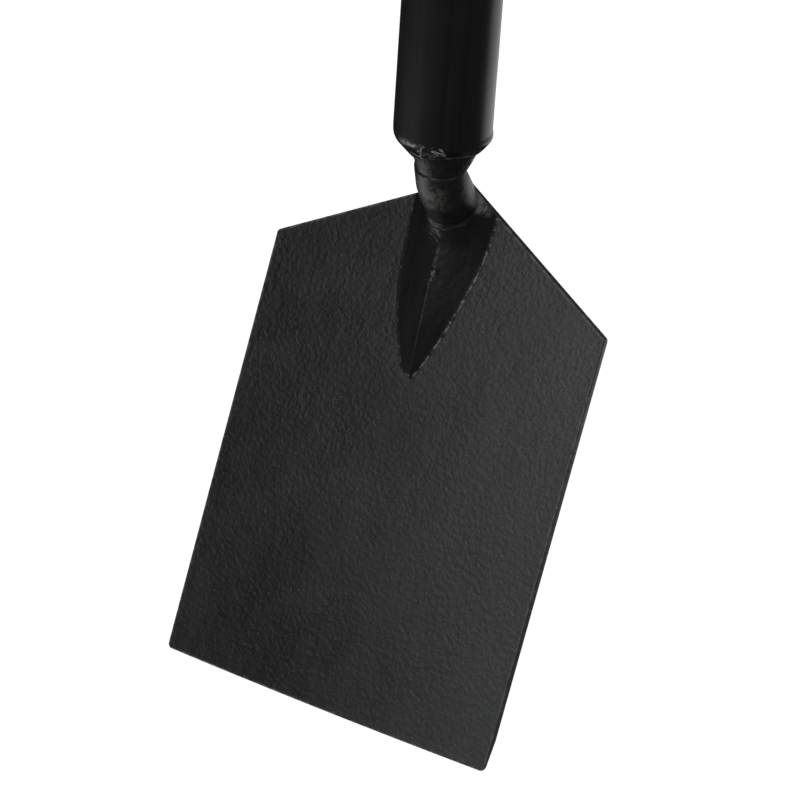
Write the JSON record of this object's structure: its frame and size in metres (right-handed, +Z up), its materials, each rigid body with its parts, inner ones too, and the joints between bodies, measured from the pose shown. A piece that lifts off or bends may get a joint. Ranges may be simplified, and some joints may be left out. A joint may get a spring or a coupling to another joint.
{
  "type": "grub hoe",
  "caption": "Long-handled hoe: flat five-sided steel blade with a raised shank foot, a round neck, a steel ferrule and a turned ash handle.",
  "frame": {"origin": "bottom centre of the whole tool's bounding box, level with the cutting edge", "axes": "+Z up along the handle from the blade to the butt, +X across the blade, -Y towards the user, whom the blade's inner face looks at"},
  "size_m": [0.14, 0.0864, 1.4412],
  "materials": {
    "blade_paint": "black semi-gloss paint over rolled and forged steel, fine orange peel and streaks along the blade, worn on the edges",
    "shank_paint": "black gloss paint over forged steel with hammer and forging ripples",
    "weld_paint": "black gloss paint over a smooth weld",
    "ferrule_paint": "black gloss paint over drawn tube, scuffed to grey at the nose",
    "ash_wood": "turned ash with a thin clear lacquer, grain along the handle",
    "rivet_steel": "hammered steel head, slightly dull"
  },
  "bodies": {
    "root": {"blade": "blade_paint", "shank": "shank_paint", "nose_weld": "weld_paint", "ferrule": "ferrule_paint", "handle": "ash_wood", "rivet": "rivet_steel"}
  },
  "joints": []
}
